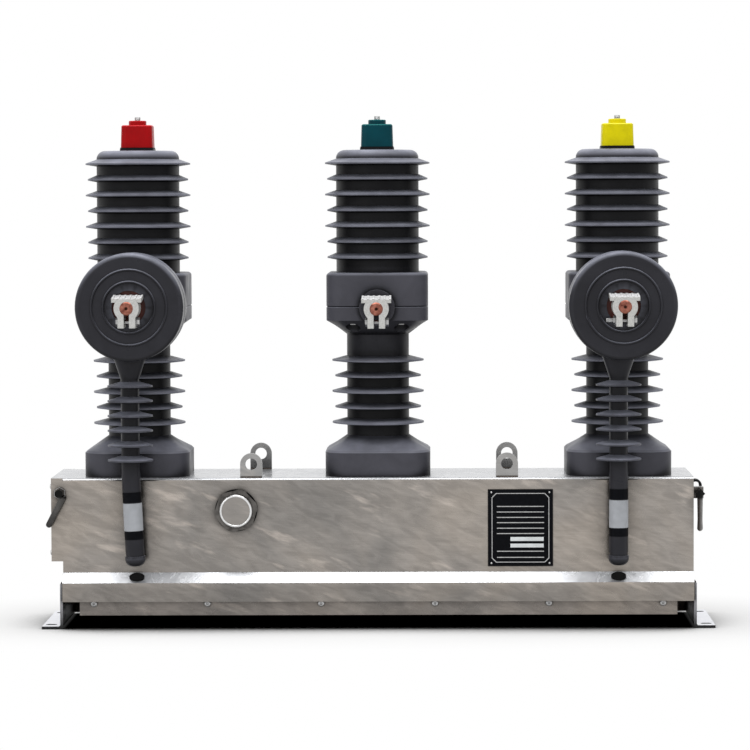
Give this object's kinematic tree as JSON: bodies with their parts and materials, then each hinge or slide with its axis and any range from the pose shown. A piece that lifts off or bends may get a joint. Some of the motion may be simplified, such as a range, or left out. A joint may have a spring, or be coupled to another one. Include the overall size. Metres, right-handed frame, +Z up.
{
  "type": "outdoor vacuum circuit breaker",
  "caption": "Outdoor pole-type vacuum circuit breaker with a row of shedded insulator poles, ring current transformers, a sheet-steel mechanism box and hand levers.",
  "frame": {"origin": "centre of the foot-slot pattern, on the plane that the feet stand on", "axes": "+X along the row of poles, +Y away from the outlets, +Z up"},
  "size_m": [0.945, 0.2995, 0.7189],
  "materials": {
    "stainless_sheet": "brushed",
    "stainless_bracket": "satin",
    "stainless_bright": "satin",
    "bright_steel": "bright zinc",
    "plate_black": "satin",
    "insulator": "matte",
    "cap_left": "satin",
    "cap_middle": "satin",
    "cap_right": "satin",
    "copper": "satin",
    "clamp_aluminium": "extruded",
    "cast_resin": "satin",
    "rubber": "matte",
    "lever_steel": "satin",
    "black_bracket": "satin"
  },
  "bodies": {
    "breaker": {"bottom_pan": "stainless_sheet", "cable_port_cap": "stainless_bright", "cable_port_nut": "stainless_bright", "charging_bearing": "stainless_bright", "charging_guard": "black_bracket", "clamp_bolt_left": "bright_steel", "clamp_bolt_middle": "bright_steel", "clamp_bolt_right": "bright_steel", "ct_bush_left": "cast_resin", "ct_bush_right": "cast_resin", "current_transformer_left": "insulator", "current_transformer_right": "insulator", "flange_bolts_left": "bright_steel", "flange_bolts_middle": "bright_steel", "flange_bolts_right": "bright_steel", "housing_cover": "stainless_sheet", "lead_grommet_left": "rubber", "lead_grommet_right": "rubber", "left_end_plate": "stainless_sheet", "left_foot": "stainless_bracket", "left_side_cover": "stainless_sheet", "lug_back_left": "stainless_bracket", "lug_back_right": "stainless_bracket", "lug_front_left": "stainless_bracket", "lug_front_right": "stainless_bracket", "nameplate": "plate_black", "outlet_clamp_left": "clamp_aluminium", "outlet_clamp_middle": "clamp_aluminium", "outlet_clamp_right": "clamp_aluminium", "outlet_stud_left": "copper", "outlet_stud_middle": "copper", "outlet_stud_right": "copper", "right_end_plate": "stainless_sheet", "right_foot": "stainless_bracket", "support_insulator_left": "insulator", "support_insulator_middle": "insulator", "support_insulator_right": "insulator", "top_cap_left": "cap_left", "top_cap_middle": "cap_middle", "top_cap_right": "cap_right", "top_stud_left": "bright_steel", "top_stud_middle": "bright_steel", "top_stud_right": "bright_steel", "upper_insulator_left": "insulator", "upper_insulator_middle": "insulator", "upper_insulator_right": "insulator"},
    "operating_lever": {"left_lever": "lever_steel"},
    "charging_lever": {"charging_lever": "lever_steel"}
  },
  "joints": [
    {"name": "operating_lever_turn", "type": "hinge", "parent": "breaker", "child": "operating_lever", "pos_m": [-0.4462, -0.09, 0.1914], "axis": [0, 1, 0], "range_deg": [-40, 40]},
    {"name": "charging_lever_turn", "type": "hinge", "parent": "breaker", "child": "charging_lever", "pos_m": [0.4507, -0.09, 0.1893], "axis": [0, -1, 0], "range_deg": [0, 80]}
  ]
}
